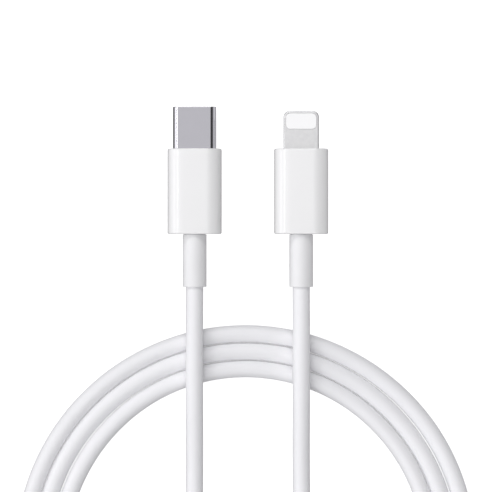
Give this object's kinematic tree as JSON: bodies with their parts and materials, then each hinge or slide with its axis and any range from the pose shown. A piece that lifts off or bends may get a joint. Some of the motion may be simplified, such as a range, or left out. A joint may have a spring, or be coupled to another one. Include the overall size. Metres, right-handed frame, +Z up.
{
  "type": "charging cable",
  "caption": "White charging cable with an oval metal charger plug, a flat steel phone plug and a cord wound in a flat round coil.",
  "frame": {"origin": "on the surface the cable lies on, midway between the two plugs, at the middle of the plugs' length from the charger plug's tip to the end of its strain relief", "axes": "+X to the right from the charger plug to the phone plug, +Y the way both plugs point, +Z up"},
  "size_m": [0.0883, 0.1301, 0.0069],
  "materials": {
    "boot_white": "glossy moulded white plastic",
    "relief_white": "satin soft white elastomer",
    "jacket_white": "satin white extruded elastomer",
    "shell_steel": "drawn and polished stainless steel",
    "tab_steel": "finely blasted steel",
    "insert_white": "smooth moulded white plastic",
    "housing_black": "moulded black glass-filled plastic",
    "contact_gold": "gold-plated stamped contacts",
    "spring_steel": "stamped spring steel",
    "tinned_steel": "stamped tinned steel sheet",
    "crimp_brass": "crimped brass sleeve",
    "copper_braid": "tinned copper braid, woven",
    "mould_clear": "low-pressure moulded polyethylene",
    "board_green": "solder-masked laminate",
    "chip_black": "moulded epoxy package",
    "component_tan": "ceramic chip parts",
    "wire_red": "insulated wire",
    "wire_white": "insulated wire",
    "wire_black": "insulated wire",
    "wire_green": "insulated wire"
  },
  "bodies": {
    "cable": {"charger_boot": "boot_white", "charger_strain_relief": "relief_white", "charger_shield_top": "tinned_steel", "charger_shield_bottom": "tinned_steel", "charger_screen_braid": "copper_braid", "charger_crimp_sleeve": "crimp_brass", "charger_inner_mould": "mould_clear", "charger_wire_red": "wire_red", "charger_wire_white": "wire_white", "charger_wire_black": "wire_black", "charger_wire_green": "wire_green", "charger_shell": "shell_steel", "charger_contact_housing": "housing_black", "charger_circuit_board": "board_green", "charger_board_parts": "component_tan", "phone_boot": "boot_white", "phone_strain_relief": "relief_white", "phone_shield_top": "tinned_steel", "phone_shield_bottom": "tinned_steel", "phone_screen_braid": "copper_braid", "phone_crimp_sleeve": "crimp_brass", "phone_inner_mould": "mould_clear", "phone_wire_red": "wire_red", "phone_wire_white": "wire_white", "phone_wire_black": "wire_black", "phone_wire_green": "wire_green", "phone_tab_frame": "tab_steel", "phone_tab_insert": "insert_white", "phone_tab_contacts": "contact_gold", "phone_circuit_board": "board_green", "phone_board_chip": "chip_black", "phone_board_parts": "component_tan", "cable_lead_charger": "jacket_white", "cable_coil": "jacket_white", "cable_lead_phone": "jacket_white"},
    "latch_left": {"charger_latch_left": "spring_steel"},
    "latch_right": {"charger_latch_right": "spring_steel"},
    "upper_contacts": {"charger_upper_contacts": "contact_gold"},
    "lower_contacts": {"charger_lower_contacts": "contact_gold"},
    "ground_spring_top": {"charger_ground_spring_top": "spring_steel"},
    "ground_spring_bottom": {"charger_ground_spring_bottom": "spring_steel"}
  },
  "joints": [
    {"name": "latch_left_flex", "type": "hinge", "parent": "cable", "child": "latch_left", "pos_m": [-0.01373, 0.0034, 0.003], "axis": [0, 0, 1], "range_deg": [0, 1.1], "stiffness_Nm_per_rad": 0.004},
    {"name": "latch_right_flex", "type": "hinge", "parent": "cable", "child": "latch_right", "pos_m": [-0.00663, 0.0034, 0.003], "axis": [0, 0, 1], "range_deg": [-1.1, 0], "stiffness_Nm_per_rad": 0.004},
    {"name": "upper_contacts_flex", "type": "hinge", "parent": "cable", "child": "upper_contacts", "pos_m": [-0.01018, 0.0039, 0.0035], "axis": [1, 0, 0], "range_deg": [0, 1], "stiffness_Nm_per_rad": 0.004},
    {"name": "lower_contacts_flex", "type": "hinge", "parent": "cable", "child": "lower_contacts", "pos_m": [-0.01018, 0.0039, 0.0025], "axis": [1, 0, 0], "range_deg": [-1, 0], "stiffness_Nm_per_rad": 0.004},
    {"name": "ground_spring_top_flex", "type": "hinge", "parent": "cable", "child": "ground_spring_top", "pos_m": [-0.01018, 0.01495, 0.00388], "axis": [1, 0, 0], "range_deg": [0, 2.5], "stiffness_Nm_per_rad": 0.00015},
    {"name": "ground_spring_bottom_flex", "type": "hinge", "parent": "cable", "child": "ground_spring_bottom", "pos_m": [-0.01018, 0.01495, 0.00212], "axis": [1, 0, 0], "range_deg": [-2.5, 0], "stiffness_Nm_per_rad": 0.00015}
  ],
  "couplings": [
    {"joint": "latch_right_flex", "follows": "latch_left_flex", "ratio": -1},
    {"joint": "lower_contacts_flex", "follows": "upper_contacts_flex", "ratio": -1},
    {"joint": "ground_spring_bottom_flex", "follows": "ground_spring_top_flex", "ratio": -1}
  ]
}
